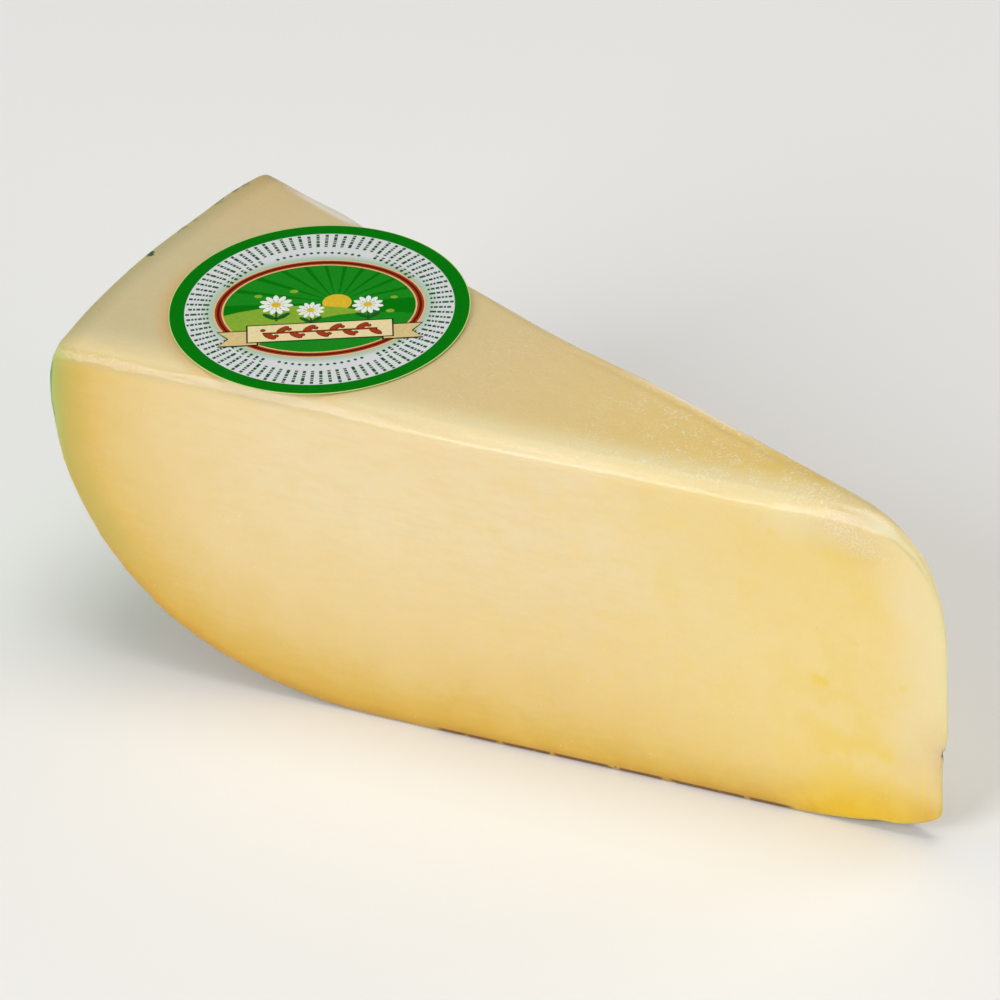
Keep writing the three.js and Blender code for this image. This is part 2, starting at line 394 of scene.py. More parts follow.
@dataclass(frozen=True)
class CoatedGoatCheese:
    """Semi-hard goat cheese, cut by a wire and drawn tight in clear film.

    The paste is pale and lets light in. It is deeper in colour near the rind, partly where it is
    dry and partly as painted shade towards the foot and the rim. The rind carries a satin green
    coating, and a painted glow stands for its light in the paste next to it.
    The film gives the whole slice a thin, slightly frosted gloss.

    Attributes:
        paste_and_shade_depths: The paste's colours by their depth from the rind: deeper where it is
            dry, and darker towards the rind and the foot partly as painted shade.
        deepest: How far the rind's colour can reach into the paste.
        shaded_top_rim: The top's colour at the rim, where it is driest, darker than the sides
            partly as painted shade.
        shaded_top_middle: The top's colour half way along, darker than the sides partly as painted
            shade.
        shaded_top_point: The top's colour at the point, darker than the sides partly as painted
            shade.
        top_corner: The warmer colour of the top's far rim corner.
        rolled_edge_highlight: Painted light where the top rolls over to the near side and catches
            the light.
        ridge: Painted shade along that edge, near the rim, which dims the light that it catches
            there.
        film_painted_highlight: The film's painted highlight along that edge, near the point, and
            down the point's shoulder.
        film_lip_highlight: The painted white highlight on the film's fold along the far edge.
        point_painted_light: Painted light on the point's rounded edge and on its shoulder.
        film_frost_and_glint_white: The white of the film's frost, and of its glints and specks,
            which are painted highlights.
        butter: The yellower paste towards the point.
        yolk: The yellow patches and marks of the point.
        deep_butter: The deep yellow foot of the point.
        label_painted_shadow: The warm painted shadow beside the label.
        olive: The paste's greenish ochre beside the rim.
        rim_shade: The darker line of the top along the rim.
        green: The rim's coating.
        green_painted_glow: The painted glow of the coating's light in the paste beside it.
        green_fleck: Thick spots and chips of the coating.
        underside: The underside's dry rind.
        foot_rind_and_shadow_line: The brown line along the foot of the near side: partly the rind's
            edge, partly painted contact shadow.
        pore: The small darker pores of the paste.
        cloud: The soft yellow clouds of the paste.
        ripened: The riper streaks that the wire drew out.
        blotch_size: The widest pattern's size; cloud, mottle, grain and film are finer.
        grain_depth: How high the paste's grain stands.
        film_depth: How high the film's crinkles stand.
        bump: How much of both shows.
        smoothest: The least roughness; roughest is the most.
        light_reach: How far red, green and blue light go in the paste, in light_depth.
        film_gloss: How strong the film's gloss is.
        drag_width: How wide the wire's streaks are.
        drag_slope: How far they slope.
        drag_squeeze: How much they are drawn out along each axis.
        glint_speck_spacing: How far apart the painted glint specks are.
        wander: How far the colours' depths wander.
        wander_from: How far from the rind they start to.
        foot_line_from: Where that line starts; foot_line_to is where it ends.
        foot_line_height: How high it reaches.
    """

    # Darker towards the rind and the foot: partly the drier paste's own colour, partly painted
    # shade.
    paste_and_shade_depths: tuple[tuple[float, str], ...] = (
        (0.4, "#C8982F"),
        (2.0, "#DBB040"),
        (5.0, "#DFBA58"),
        (10.0, "#E5C679"),
        (18.0, "#EBD194"),
        (34.0, "#EED9A9"),
    )
    deepest: float = 40.0
    # The top's own tones, made darker than the sides partly as painted shade, since less light
    # falls on it.
    shaded_top_rim: str = "#D6C597"
    shaded_top_middle: str = "#E9CE91"
    shaded_top_point: str = "#ECCB6D"
    top_corner: str = "#D9B87C"
    rolled_edge_highlight: str = "#EBDCA8"
    ridge: str = "#CDB98A"
    film_painted_highlight: str = "#F2EBCD"
    film_lip_highlight: str = "#F2EADC"
    butter: str = "#F3DA8C"
    yolk: str = "#EFD058"
    deep_butter: str = "#EEC204"
    point_painted_light: str = "#F0E2B6"
    film_frost_and_glint_white: str = "#FBF6E6"
    label_painted_shadow: str = "#E0AC62"
    olive: str = "#B4B35C"
    rim_shade: str = "#74783F"
    green: str = "#3F8A1C"
    green_painted_glow: str = "#A9BE62"
    green_fleck: str = "#175A1C"
    underside: str = "#8F7432"
    foot_rind_and_shadow_line: str = "#6E3D00"
    pore: str = "#DDB255"
    cloud: str = "#EFD068"
    ripened: str = "#E8CB86"
    blotch_size: float = 9.0
    cloud_size: float = 5.0
    mottle_size: float = 2.4
    grain_size: float = 0.9
    film_grain: float = 0.35
    grain_depth: float = 0.08
    film_depth: float = 0.045
    bump: float = 0.8
    smoothest: float = 0.3
    roughest: float = 0.48
    light_reach: tuple[float, float, float] = (1.0, 0.62, 0.28)
    light_depth: float = 3.0
    film_gloss: float = 0.35
    drag_width: float = 1.3
    drag_slope: float = math.radians(8)
    drag_squeeze: tuple[float, float, float] = (0.22, 0.7, 1)
    glint_speck_spacing: float = 1.1
    wander: float = 9.0
    wander_from: float = 8.0
    foot_line_from: float = -8.5
    foot_line_to: float = 44.0
    foot_line_height: float = 0.85

    def material(self, wheel: Wheel, fields: list[str]) -> bpy.types.Material:
        """Makes the finish.

        Args:
            wheel: The wheel that the slice was cut from.
            fields: The slice's attributes that say where tints lie.

        Returns:
            The material.
        """
        material, tree = new_material("goat cheese under film")
        position = add_node(tree, "TexCoord").outputs["Object"]
        place = add_node(
            tree, "VectorMath", {0: position, "Scale": 1 / MM}, operation="SCALE"
        ).outputs[0]
        noises = self._noises(tree, place)
        masks = self._masks(tree, place, noises, wheel, fields)
        colour = self._colour(tree, noises, masks)
        roughness = add_node(
            tree,
            "MapRange",
            {
                "Value": noises["grain"],
                "From Min": 0.3,
                "From Max": 0.7,
                "To Min": self.smoothest,
                "To Max": self.roughest,
            },
        ).outputs[0]
        normal = {}
        for pattern, depth in (("grain", self.grain_depth), ("film", self.film_depth)):
            bump = {"Height": noises[pattern], "Distance": depth * MM, "Strength": self.bump}
            normal = {"Normal": add_node(tree, "Bump", bump | normal).outputs[0]}
        shader = add_node(
            tree,
            "BsdfPrincipled",
            {
                "Base Color": colour,
                "Roughness": roughness,
                "IOR": 1.45,
                "Subsurface Weight": 0.35,
                "Subsurface Radius": self.light_reach,
                "Subsurface Scale": self.light_depth * MM,
                "Coat Weight": self.film_gloss,
                "Coat Roughness": 0.2,
                "Coat Normal": normal["Normal"],
                **normal,
            },
        )
        add_node(tree, "OutputMaterial", {"Surface": shader.outputs[0]})
        return material

    def _noises(
        self, tree: bpy.types.NodeTree, place: bpy.types.NodeSocket
    ) -> dict[str, bpy.types.NodeSocket]:
        """Adds the patterns that make the slice uneven, from the widest to the finest.

        Args:
            tree: The material's tree.
            place: The place on the slice, in millimetres.

        Returns:
            Each pattern's socket by name.
        """
        noises = {}
        for name, size, detail in (
            ("blotch", self.blotch_size, 3),
            ("cloud", self.cloud_size, 3),
            ("mottle", self.mottle_size, 4),
            ("grain", self.grain_size, 4),
            ("film", self.film_grain, 3),
        ):
            noises[name] = add_node(
                tree,
                "TexNoise",
                {"Vector": place, "Scale": 1 / size, "Detail": detail, "Roughness": 0.6},
            ).outputs["Fac"]
        dragged = add_node(
            tree,
            "Mapping",
            {
                "Vector": place,
                "Rotation": (0, self.drag_slope, 0),
                "Scale": self.drag_squeeze,
            },
        ).outputs[0]
        noises["drag"] = add_node(
            tree,
            "TexNoise",
            {"Vector": dragged, "Scale": 1 / self.drag_width, "Detail": 4, "Roughness": 0.65},
        ).outputs["Fac"]
        noises["glint_specks"] = add_node(
            tree, "TexVoronoi", {"Vector": place, "Scale": 1 / self.glint_speck_spacing}
        ).outputs["Distance"]
        return noises

    def _masks(
        self,
        tree: bpy.types.NodeTree,
        place: bpy.types.NodeSocket,
        noises: dict[str, bpy.types.NodeSocket],
        wheel: Wheel,
        fields: list[str],
    ) -> dict[str, bpy.types.NodeSocket]:
        """Adds the masks that say where each tint lies.

        Args:
            tree: The material's tree.
            place: The place on the slice, in millimetres.
            noises: The patterns.
            wheel: The wheel that the slice was cut from.
            fields: The slice's attributes that say where tints lie.

        Returns:
            Each mask's socket by name.
        """
        masks = {}
        for field in fields:
            masks[field] = add_node(tree, "Attribute", attribute_name=field).outputs["Fac"]
        along = add_node(tree, "SeparateXYZ", {0: place}).outputs
        flat = add_node(
            tree, "VectorMath", {0: place, 1: (1, 1, 0)}, operation="MULTIPLY"
        ).outputs[0]
        from_centre = add_node(
            tree,
            "VectorMath",
            {0: flat, 1: (wheel.centre_x, 0, 0)},
            operation="DISTANCE",
        ).outputs["Value"]
        chipped = add_node(
            tree, "Math", {0: masks["chips"], 1: noises["grain"]}, operation="ADD"
        ).outputs[0]
        for name, value, none, full, most in (
            ("buttery", from_centre, 62, 16, 0.75),
            ("along_top", along["X"], -64, 64, 1),
            ("clouds", noises["cloud"], 0.4, 0.75, 0.28),
            ("pores", noises["mottle"], 0.62, 0.78, 0.14),
            ("ripened", noises["drag"], 0.38, 0.68, 0.32),
            ("patchy", noises["cloud"], 0.3, 0.62, 1),
            ("towards_point", from_centre, 95, 45, 1),
            ("flecks", noises["mottle"], 0.54, 0.62, 0.75),
            ("chips", chipped, 0.96, 1.06, 0.95),
            ("glint_specks", noises["glint_specks"], 0.12, 0.03, 0.5),
            ("few", noises["mottle"], 0.5, 0.66, 1),
            ("sparkle", noises["film"], 0.5, 0.66, 0.5),
            ("clusters", noises["mottle"], 0.36, 0.6, 1),
            ("frost_grain", noises["film"], 0.42, 0.68, 0.38),
            # The foot line: partly the rind's edge, partly painted contact shadow.
            ("foot_line_low", along["Z"], self.foot_line_height, self.foot_line_height - 0.25, 0.9),
            ("foot_line_start", along["X"], self.foot_line_from, self.foot_line_from + 1.5, 1),
            ("foot_line_end", along["X"], self.foot_line_to, self.foot_line_to - 2, 1),
            ("foot_line_near", along["Y"], 0, -1, 1),
            ("foot_line_breaks", noises["mottle"], 0.38, 0.44, 1),
        ):
            masks[name] = add_node(
                tree,
                "MapRange",
                {"Value": value, "From Min": none, "From Max": full, "To Max": most},
                interpolation_type="SMOOTHSTEP",
            ).outputs[0]
        for name, *factors in (
            ("buttery", "buttery", "above_foot"),
            ("ripened", "ripened", "above_foot"),
            ("clouds", "clouds", "towards_point"),
            ("pores", "pores", "towards_point"),
            ("yolky", "yolky", "patchy"),
            ("flecks", "flecks", "rim_lip"),
            # Painted glints of the film, in clusters on the top.
            ("painted_glints", "sparkle", "clusters", "glint_area"),
            ("glint_specks", "glint_specks", "few"),
            ("frost", "frost_grain", "frosted"),
            # The foot line: partly the rind's edge, partly painted contact shadow.
            ("foot_rind_and_shadow", "foot_line_low", "foot_line_start", "foot_line_end", "foot_line_near", "foot_line_breaks"),
        ):
            product = masks[factors[0]]
            for factor in factors[1:]:
                product = add_node(
                    tree, "Math", {0: product, 1: masks[factor]}, operation="MULTIPLY"
                ).outputs[0]
            masks[name] = product
        return masks

    def _colour(
        self,
        tree: bpy.types.NodeTree,
        noises: dict[str, bpy.types.NodeSocket],
        masks: dict[str, bpy.types.NodeSocket],
    ) -> bpy.types.NodeSocket:
        """Builds the colour of the paste and the rind.

        Args:
            tree: The material's tree.
            noises: The patterns.
            masks: The masks.

        Returns:
            The colour's socket.
        """
        uneven = add_node(
            tree,
            "Math",
            {0: noises["blotch"], 1: self.wander, 2: -self.wander / 2},
            operation="MULTIPLY_ADD",
        ).outputs[0]
        wandering = add_node(
            tree, "Math", {0: masks["from_rind"], 1: uneven}, operation="ADD"
        ).outputs[0]
        off_rind = add_node(
            tree,
            "MapRange",
            {"Value": masks["from_rind"], "From Min": 0, "From Max": self.wander_from},
        ).outputs[0]
        depth = add_node(
            tree, "Mix", {0: off_rind, 2: masks["from_rind"], 3: wandering}, data_type="FLOAT"
        ).outputs[0]
        share = add_node(
            tree, "MapRange", {"Value": depth, "From Min": 0, "From Max": self.deepest}
        ).outputs[0]
        shaded_top_depths = ((0.0, self.shaded_top_rim), (0.5, self.shaded_top_middle), (1.0, self.shaded_top_point))
        ramps = []
        for along, hues, length in (
            (share, self.paste_and_shade_depths, self.deepest),
            (masks["along_top"], shaded_top_depths, 1.0),
        ):
            ramp = add_node(tree, "ValToRGB", {"Fac": along})
            stops = ramp.color_ramp.elements
            while len(stops) < len(hues):
                stops.new(1.0)
            for stop, (at, hue) in zip(stops, hues):
                stop.position = at / length
                stop.color = linear(hue)
            ramps.append(ramp.outputs["Color"])
        colour, shaded_top_colour = ramps
        for name, tint in (
            ("ripened", linear(self.ripened)),
            ("buttery", linear(self.butter)),
            ("yolky", linear(self.yolk)),
            ("corner", linear(self.deep_butter)),
            ("clouds", linear(self.cloud)),
            ("pores", linear(self.pore)),
            # Painted glint specks.
            ("glint_specks", linear(self.film_frost_and_glint_white)),
            # Painted light on the point's edge and its shoulder.
            ("lit_point", linear(self.point_painted_light)),
            # The top: its own tone, with painted shade that makes it darker than the sides.
            ("top", shaded_top_colour),
            ("warm_corner", linear(self.top_corner)),
            # Painted highlight on the rounded near edge of the top.
            ("rolled_highlight", linear(self.rolled_edge_highlight)),
            # Painted shade that dims the near edge's light towards the rim.
            ("ridge", linear(self.ridge)),
            # Painted highlights of the film along the near edge and the point's shoulder.
            ("film_highlight", linear(self.film_painted_highlight)),
            # Painted shadow of the label on the top.
            ("label_shadow", linear(self.label_painted_shadow)),
            ("olive", linear(self.olive)),
            ("rim_shade", linear(self.rim_shade)),
            # Painted glow of the green coating beside the rim.
            ("painted_green_glow", linear(self.green_painted_glow)),
            ("rind", linear(self.green)),
            ("underside", linear(self.underside)),
            # The foot line: partly the rind's edge, partly painted contact shadow.
            ("foot_rind_and_shadow", linear(self.foot_rind_and_shadow_line)),
            ("flecks", linear(self.green_fleck)),
            ("chips", linear(self.green_fleck)),
            # Painted glints.
            ("painted_glints", linear(self.film_frost_and_glint_white)),
            # Painted highlight on the film's fold along the far edge.
            ("far_lip_highlight", linear(self.film_lip_highlight)),
            ("frost", linear(self.film_frost_and_glint_white)),
        ):
            colour = add_node(
                tree, "Mix", {0: masks[name], 6: colour, 7: tint}, data_type="RGBA"
            ).outputs[2]
        return colour


@dataclass
class CheeseSlice:
    """The slice, cut from the wheel, with the relief that the wire, the film and wear left.

    Attributes:
        wheel: The wheel that it was cut from.
        name: The piece's name.
        finish: What it is made of.
        seam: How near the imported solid's corners are when they are one.
        smoothing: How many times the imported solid's faces are divided.
        marks: Small yolky marks on the near side: from the centre, height, reach.
        chips: Places on the rim's upper edge where the coating came off, and their reach.
    """

    wheel: Wheel
    name: str = "goat_cheese_slice"
    finish: CoatedGoatCheese = CoatedGoatCheese()
    seam: float = 0.002
    smoothing: int = 2
    marks: tuple[tuple[float, float, float], ...] = (
        (7.6, 24.4, 1.0),
        (19.2, 23.6, 2.2),
        (26.0, 45.6, 1.1),
        (10.0, 12.5, 1.6),
    )
    chips: tuple[tuple[tuple[float, float, float], float], ...] = (
        ((-63.4, -0.4, 50.6), 2.0),
        ((-63.7, 2.4, 50.6), 1.5),
        ((-62.4, 25.5, 51), 1.6),
        ((-61.3, -14.7, 50.6), 1.4),
    )

    def build(self) -> bpy.types.Object:
        """Models and dresses the slice.

        Returns:
            The piece.
        """
        piece = self._copy_solid()
        self._smooth(piece)
        for relief in RELIEFS:
            relief.press(piece, self.wheel)
        piece.vertex_groups.clear()
        fields = self._fields(Skin(piece.data, self.wheel))
        for name, values in fields.items():
            attribute = piece.data.attributes.new(name, "FLOAT", "POINT")
            attribute.data.foreach_set("value", values.astype(np.float32))
        finish_piece(piece, self.finish.material(self.wheel, list(fields)))
        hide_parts("cheese")
        return piece

    def _copy_solid(self) -> bpy.types.Object:
        """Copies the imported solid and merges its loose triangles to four-sided faces."""
        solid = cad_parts["cheese"]
        piece = bpy.data.objects.new(self.name, solid.data.copy())
        bpy.context.scene.collection.objects.link(piece)
        with editing(piece):
            bpy.ops.mesh.remove_doubles(threshold=self.seam * MM)
            bpy.ops.mesh.tris_convert_to_quads(face_threshold=math.pi, shape_threshold=math.pi)
        return piece

    def _smooth(self, piece: bpy.types.Object) -> None:
        """Divides the faces and rounds them off."""
        rounding = piece.modifiers.new("rounding", "SUBSURF")
        rounding.levels = self.smoothing
        rounding.render_levels = self.smoothing
        apply_modifiers(piece)
        bpy.ops.object.shade_smooth()

    def _fields(self, skin: Skin) -> dict[str, np.ndarray]:
        """Works out where the finish's tints lie, from 0 to 1, and how deep the rind is.

        Args:
            skin: The slice's vertices.

        Returns:
            The value for each vertex by the field's name.
        """
        d, z = skin.from_centre, skin.z
        top = skin.top()
        depth = skin.from_rind(self.finish.deepest)
        from_rim = self.wheel.radius - d
        by_rim = ease(100, 122, d)
        ridge = skin.near_ridge(2.2)
        roll = 6.6 - 0.8 * ease(20, 60, from_rim)
        shoulder_highlight = hump(-0.6, 0.45, skin.facing_far) * hump(10.5, 7, d) * ease(38, 46, z)
        wavering = d + 1.3 * np.sin(z / 3.7) + 0.7 * np.sin(z / 1.6)
        pale_point = ease(13, 4, wavering) * ease(4, 14, z)
        pale_shoulder = ease(43, 48, z) * ease(34, 22, d) * (1 - top)
        yolky_streak = hump(11.5 + 0.7 * (z - 38), 4.5, d) * hump(40, 9, z)
        yolky_foot = hump(15, 14, d) * ease(36, 6, z)
        crease = hump(5, 0.8, d) * hump(9, 6.5, z)
        marks = skin.marks(self.marks)
        crinkle = skin.ball((-55, -24.5, 50), 9) * hump(50.4, 1.0, z)
        lips = hump(22, 19, skin.x) + hump(-49, 11, skin.x)
        lip_edge = ease(2.3, 1.3, skin.from_far) * ease(49, 50, z)
        return {
            "rind": skin.rind(),
            "underside": ease(-0.5, -0.9, skin.facing_up),
            # The top: its own tone, with painted shade that makes it darker than the sides.
            "top": top * ease(1.5, 5, skin.from_near),
            "from_rind": depth,
            "above_foot": ease(0.5, 9, depth),
            # Painted glow of the green coating beside the rim.
            "painted_green_glow": (0.7 - 0.3 * top) * ease(2.6, 0, depth) * by_rim * ease(28, 40, z),
            "olive": 0.5 * by_rim * ease(6.5, 1.5, depth) * ease(12, 24, z) * (1 - top),
            "rim_shade": 0.3 * ease(5.4, 1.6, from_rim) * top,
            "rim_lip": ease(2.4, 1.0, from_rim) * ease(48.5, 50, z),
            "chips": sum(skin.ball(place, reach) for place, reach in self.chips),
            # Painted highlight on the rounded near edge of the top.
            "rolled_highlight": 0.8 * ease(1.2, 0.3, skin.from_near / roll) * top,
            # Painted shade that dims the near edge's light towards the rim.
            "ridge": 0.6 * ridge * ease(68, 92, d),
            # Painted highlights of the film along the near edge and the point's shoulder.
            "film_highlight": 0.18 * ridge * ease(80, 56, d) * ease(8, 18, d) + 0.6 * shoulder_highlight,
            # Painted light on the point's edge and its shoulder.
            "lit_point": 0.6 * np.maximum(pale_point, 0.9 * pale_shoulder),
            "yolky": 0.55 * yolky_streak + 0.75 * yolky_foot + 0.6 * crease + marks,
            "corner": hump(14, 15, d) * ease(10, 1, z),
            "warm_corner": 0.6 * skin.ball(FAR_RIM_CORNER, 20) * top,
            # Painted shadow of the label on the top.
            "label_shadow": self._label_shadow(skin) * top,
            # Where the painted glints lie.
            "glint_area": top * (ease(66, 46, d) + 0.5 * hump(-8, 14, skin.x)),
            "frosted": skin.shoulder_frost() + 0.5 * crinkle,
            # Painted highlight on the film's fold along the far edge.
            "far_lip_highlight": np.minimum(0.9, 1.3 * lips * lip_edge),
        }

    def _label_shadow(self, skin: Skin) -> np.ndarray:
        """Is up to 0.5 beside the label's edge, on the side where its painted shadow lies.

        Args:
            skin: The slice's vertices.

        Returns:
            The mask.
        """
        low, high = (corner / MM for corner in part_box("label"))
        middle = (low + high) / 2
        across, along = skin.y - middle.y, skin.x - middle.x
        from_label = np.hypot(along, across) - (high.x - middle.x)
        shadow_side = ease(2, 14, -0.39 * along - 0.92 * across)
        return 0.5 * ease(2.6, 0, np.abs(from_label)) * shadow_side


class Ink(Enum):
    """The inks of the label's print."""

    LEAF = "#007606"
    MOSS = "#1E5A22"
    MEADOW = "#17871A"
    PASTURE = "#86AC33"
    CREAM = "#EBD9A4"
    SAND = "#D9C184"
    RUSSET = "#A23C17"
    OXBLOOD = "#5A150A"
    PEACH = "#E9B983"
    BARK = "#1C130B"
    DAISY = "#E9EEE4"
    POLLEN = "#DDB92F"


@dataclass(frozen=True)
class LabelPaper:
    """Coated label paper: a cool white, calendered smooth, a little glossy under the film.

    Round the picture a pale green tint is screened on it, which fades outwards.

    Attributes:
        white: The paper's colour.
        tint: The tint round the picture.
        tint_share: How strong the tint is beside the picture.
        tint_reach: How far it reaches, as a share of the picture's size.
        cut_edge: The colour of the cut edge, under the film.
        edge_width: How wide that edge is.
        fibre: The size of the paper's fibres.
        fibre_depth: How high they stand.
    """

    white: str = "#DADBDC"
    tint: str = "#9DBE9B"
    tint_share: float = 0.8
    tint_reach: float = 0.14
    cut_edge: str = "#C9DC86"
    edge_width: float = 0.3
    fibre: float = 0.5
    fibre_depth: float = 0.006

    def material(
        self, centre: Vector, radius: float, picture: tuple[float, float], turn: float
    ) -> bpy.types.Material:
        """Makes the paper.

        Args:
            centre: The label's centre, in metres.
            radius: The label's radius, in millimetres.
            picture: Half the length and half the width of the picture, in millimetres.
            turn: How far the print is turned round.

        Returns:
            The material.
        """
        material, tree = new_material("coated label paper")
        position = add_node(tree, "TexCoord").outputs["Object"]
        away = add_node(
            tree,
            "VectorMath",
            {0: position, 1: tuple(centre)},
            operation="DISTANCE",
        ).outputs["Value"]
        reach = (picture[0] * MM, picture[1] * MM, 1)
        on_print = add_node(
            tree,
            "Mapping",
            {
                "Vector": position,
                "Location": (centre.x, centre.y, 0),
                "Rotation": (0, 0, turn),
                "Scale": reach,
            },
            vector_type="TEXTURE",
        ).outputs[0]
        flat = add_node(
            tree, "VectorMath", {0: on_print, 1: (1, 1, 0)}, operation="MULTIPLY"
        ).outputs[0]
        from_picture = add_node(
            tree, "VectorMath", {0: flat}, operation="LENGTH"
        ).outputs["Value"]
        colour = linear(self.white)
        edge = (radius - self.edge_width) * MM
        for value, none, full, most, tint in (
            (from_picture, 1 + self.tint_reach, 1, self.tint_share, self.tint),
            (away, edge, edge + self.edge_width / 2 * MM, 1, self.cut_edge),
        ):
            mask = add_node(
                tree,
                "MapRange",
                {"Value": value, "From Min": none, "From Max": full, "To Max": most},
                interpolation_type="SMOOTHSTEP",
            ).outputs[0]
            colour = add_node(
                tree, "Mix", {0: mask, 6: colour, 7: linear(tint)}, data_type="RGBA"
            ).outputs[2]
        fibres = add_node(
            tree, "TexNoise", {"Vector": position, "Scale": 1 / (self.fibre * MM), "Detail": 2}
        ).outputs["Fac"]
        bump = add_node(
            tree,
            "Bump",
            {"Height": fibres, "Distance": self.fibre_depth * MM, "Strength": 0.5},
        ).outputs[0]
        shader = add_node(
            tree,
            "BsdfPrincipled",
            {
                "Base Color": colour,
                "Roughness": 0.5,
                "IOR": 1.45,
                "Specular IOR Level": 0.25,
                "Normal": bump,
            },
        )
        add_node(tree, "OutputMaterial", {"Surface": shader.outputs[0]})
        return material


@dataclass(frozen=True)
class OffsetInk:
    """Offset printing ink on coated paper: a flat, nearly even colour, a little matt.

    Attributes:
        ink: The ink.
        screen: The size of its unevenness.
        unevenness: How much lighter or darker it is in places.
    """

    ink: Ink
    screen: float = 0.6
    unevenness: float = 0.06

    def material(self) -> bpy.types.Material:
        """Makes the ink, or returns it if it is there already."""
        name = f"offset ink {self.ink.name.lower()}"
        if name in bpy.data.materials:
            return bpy.data.materials[name]
        material, tree = new_material(name)
        position = add_node(tree, "TexCoord").outputs["Object"]
        screen = add_node(
            tree, "TexNoise", {"Vector": position, "Scale": 1 / (self.screen * MM), "Detail": 2}
        ).outputs["Fac"]
        value = add_node(
            tree,
            "MapRange",
            {
                "Value": screen,
                "From Min": 0.3,
                "From Max": 0.7,
                "To Min": 1 - self.unevenness,
                "To Max": 1 + self.unevenness,
            },
        ).outputs[0]
        colour = add_node(
            tree, "HueSaturation", {"Color": linear(self.ink.value), "Value": value}
        ).outputs[0]
        shader = add_node(
            tree,
            "BsdfPrincipled",
            {
                "Base Color": colour,
                "Roughness": 0.5,
                "IOR": 1.45,
                "Specular IOR Level": 0.05,
            },
        )
        add_node(tree, "OutputMaterial", {"Surface": shader.outputs[0]})
        return material


class Tick(Enum):
    """The lengths of the small marks in the label's rows, in millimetres."""

    DOT = 0.3
    DASH = 0.52
    BAR = 0.86


@dataclass(frozen=True)
class TickRows:
    """A sector of rows of small marks that ray out round the label's picture.

    Attributes:
        name: The piece's name.
        start: How far from the label's centre the rows start.
        first: The direction of the first row.
        step: The turn from one row to the next.
        count: How many rows there are.
        pattern: The marks of a row, from the inside out.
    """

    name: str
    start: float
    first: float
    step: float
    count: int
    pattern: tuple[Tick, ...]
    height: float = 0.44
    gap: float = 0.16

    def build(self) -> bpy.types.Object:
        """Models the rows flat, about the origin.

        Returns:
            The rows, joined.
        """
        marks = []
        at = self.start
        for tick in self.pattern:
            middle = at + tick.value / 2
            marks.append(flat_bar((tick.value, self.height), (middle, 0), 0))
            at += tick.value + self.gap
        row = joined(marks)
        return arrayed_round(row, self.count, self.step, self.first)


def laid_flat(
    piece: bpy.types.Object, reach: tuple[float, float], place: tuple[float, float], turn: float
) -> bpy.types.Object:
    """Sizes, turns and places a unit outline about the origin's plane.

    Args:
        piece: The unit outline.
        reach: How far it is enlarged along its length and its width.
        place: Its middle.
        turn: How far it is turned.

    Returns:
        The outline, with its place in its mesh.
    """
    piece.scale = (reach[0] * MM, reach[1] * MM, 1)
    piece.rotation_euler.z = turn
    piece.location = (place[0] * MM, place[1] * MM, 0)
    bake_transform(piece)
    return piece


def flat_bar(
    size: tuple[float, float], place: tuple[float, float], turn: float = 0
) -> bpy.types.Object:
    """Adds a flat bar by its length and width, its middle and its turn."""
    bpy.ops.mesh.primitive_plane_add(size=1)
    return laid_flat(bpy.context.object, size, place, turn)


def flat_oval(
    reach: tuple[float, float],
    place: tuple[float, float] = (0, 0),
    turn: float = 0,
    sides: int = 24,
) -> bpy.types.Object:
    """Adds a flat oval by half its length and width, its middle, its turn and its sides."""
    bpy.ops.mesh.primitive_circle_add(vertices=sides, radius=1, fill_type="NGON")
    return laid_flat(bpy.context.object, reach, place, turn)


def joined(pieces: list[bpy.types.Object]) -> bpy.types.Object:
    """Joins pieces to one."""
    use_alone(pieces[0])
    for piece in pieces:
        piece.select_set(True)
    bpy.ops.object.join()
    return bpy.context.object


def arrayed_round(
    piece: bpy.types.Object, count: int, step: float, first: float = 0
) -> bpy.types.Object:
    """Repeats a piece round the origin.

    Args:
        piece: The piece, with its place in its mesh.
        count: How many there are to be.
        step: The turn from one to the next.
        first: The direction of the first.

    Returns:
        The piece, now all of them.
    """
    array = piece.modifiers.new("round", "ARRAY")
    array.count = count
    array.use_relative_offset = False
    array.use_object_offset = True
    with guide("hub") as hub:
        hub.rotation_euler.z = step
        array.offset_object = hub
        bpy.context.view_layer.update()
        apply_modifiers(piece)
    piece.rotation_euler.z = first
    bake_transform(piece)
    return piece


def trimmed(
    piece: bpy.types.Object, cuts: list[tuple[tuple[float, float], float]]
) -> bpy.types.Object:
    """Trims a flat piece along straight cuts.

    Args:
        piece: The piece.
        cuts: A place on each cut, and the direction in which what lies beyond is taken off.

    Returns:
        The piece.
    """
    for (across, up), direction in cuts:
        with editing(piece):
            bpy.ops.mesh.bisect(
                plane_co=(across * MM, up * MM, 0),
                plane_no=(math.cos(direction), math.sin(direction), 0),
                clear_outer=True,
            )
    return piece


